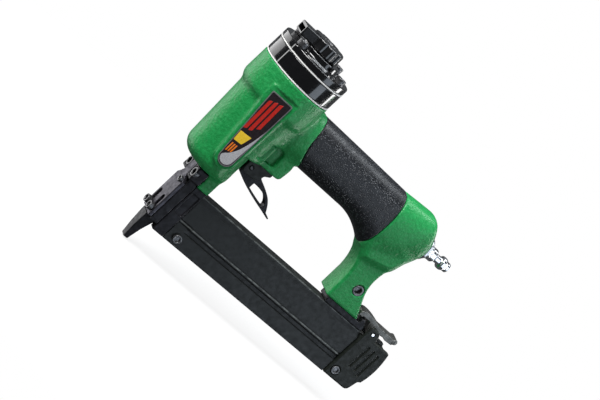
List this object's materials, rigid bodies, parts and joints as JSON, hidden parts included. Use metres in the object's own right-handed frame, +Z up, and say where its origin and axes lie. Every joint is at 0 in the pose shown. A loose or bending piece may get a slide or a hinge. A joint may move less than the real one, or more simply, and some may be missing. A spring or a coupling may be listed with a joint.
{
  "type": "staple gun",
  "caption": "Air-powered narrow-crown staple gun with a rubber grip, lever trigger, turning exhaust hood and a magazine drawer that slides out to the rear.",
  "frame": {"origin": "where the driver blade's line meets the work face at the tip of the nose", "axes": "+X rearward along the magazine and handle, +Y to the tool's right, +Z up the cylinder, against the driving direction"},
  "size_m": [0.2644, 0.0651, 0.2123],
  "materials": {
    "green_paint": "orange-peel powder paint, satin",
    "black_gloss": "glossy black paint over a die casting",
    "black_satin": "black anodised, satin",
    "black_plastic": "moulded, satin",
    "black_steel": "black oxide, oiled",
    "grey_steel": "ground and burnished",
    "bright_steel": "bright plated",
    "bare_aluminium": "machined",
    "grip_rubber": "fine speckled texture",
    "seal_rubber": "smooth",
    "seal_white": "smooth white sheet",
    "plate_print": "printed dark field inside a silver rim"
  },
  "bodies": {
    "housing": {"body_casting": "green_paint", "rubber_grip": "grip_rubber", "cap_gasket": "seal_white", "cylinder_cap": "black_gloss", "cover_gasket": "seal_white", "cap_cover": "black_gloss", "cap_bolt_front_left": "black_steel", "cap_bolt_rear_left": "black_steel", "cap_bolt_rear_right": "black_steel", "cap_bolt_front_right": "black_steel", "deflector_screw": "black_steel", "head_valve_spring": "bright_steel", "cylinder_sleeve": "bare_aluminium", "bumper": "seal_rubber", "name_plate": "plate_print", "nose_body": "black_steel", "nose_front_plate": "grey_steel", "nose_clamp_screw_left": "black_steel", "nose_clamp_screw_right": "black_steel", "nose_mount_screw_left": "black_steel", "nose_mount_screw_right": "black_steel", "nose_plate_screw": "black_steel", "magazine_head": "black_steel", "magazine_housing": "black_satin", "magazine_bracket": "black_steel", "magazine_screw_left": "black_steel", "magazine_screw_right": "black_steel", "arm_screw": "black_steel", "arm_nut": "black_steel", "trigger_bracket": "black_plastic", "trigger_pin": "black_steel", "valve_body": "black_plastic", "valve_spring": "bright_steel", "valve_plug": "bare_aluminium", "end_bush": "bare_aluminium", "air_plug": "bright_steel"},
    "driver": {"piston": "bare_aluminium", "piston_ring": "seal_rubber", "driver_blade": "bright_steel"},
    "head_valve": {"head_valve": "seal_rubber"},
    "exhaust_hood": {"exhaust_deflector": "black_gloss"},
    "trigger": {"trigger": "black_steel"},
    "valve_stem": {"valve_stem": "bright_steel"},
    "drawer": {"inner_rail": "bright_steel", "staple_strip": "bare_aluminium", "rear_cover": "black_plastic", "cover_screw_left": "black_steel", "cover_screw_right": "black_steel", "pusher_rod": "bright_steel", "pusher_spring": "bright_steel", "latch_pin": "bright_steel", "latch_spring": "bright_steel"},
    "pusher": {"pusher": "black_plastic"},
    "latch": {"latch_lever": "grey_steel"}
  },
  "joints": [
    {"name": "driver_stroke", "type": "slide", "parent": "housing", "child": "driver", "axis": [0, 0, -1], "range_m": [0, 0.058]},
    {"name": "head_valve_lift", "type": "slide", "parent": "housing", "child": "head_valve", "axis": [0, 0, 1], "range_m": [0, 0.003], "stiffness_N_per_m": 1500, "springref_m": -0.004, "deforming": ["head_valve_spring"]},
    {"name": "exhaust_turn", "type": "hinge", "parent": "housing", "child": "exhaust_hood", "pos_m": [0.001, 0, 0.2075], "axis": [0, 0, 1], "continuous": true},
    {"name": "trigger_pull", "type": "hinge", "parent": "housing", "child": "trigger", "pos_m": [0.0275, 0, 0.105], "axis": [0, -1, 0], "range_deg": [0, 12], "stiffness_Nm_per_rad": 0.6, "springref_deg": -11.46},
    {"name": "valve_stem_lift", "type": "slide", "parent": "housing", "child": "valve_stem", "axis": [0, 0, 1], "range_m": [0, 0.0021], "deforming": ["valve_spring"]},
    {"name": "magazine_slide", "type": "slide", "parent": "housing", "child": "drawer", "axis": [1, 0, 0], "range_m": [0, 0.15]},
    {"name": "pusher_slide", "type": "slide", "parent": "drawer", "child": "pusher", "axis": [1, 0, 0], "range_m": [0, 0.05], "stiffness_N_per_m": 60, "springref_m": -0.05, "deforming": ["pusher_spring"]},
    {"name": "latch_press", "type": "hinge", "parent": "drawer", "child": "latch", "pos_m": [0.2076, 0, 0.0695], "axis": [0, 1, 0], "range_deg": [0, 12], "stiffness_Nm_per_rad": 0.4, "springref_deg": -14.32, "deforming": ["latch_spring"]}
  ],
  "couplings": [
    {"joint": "valve_stem_lift", "follows": "trigger_pull", "m_per_rad": 0.0095}
  ]
}
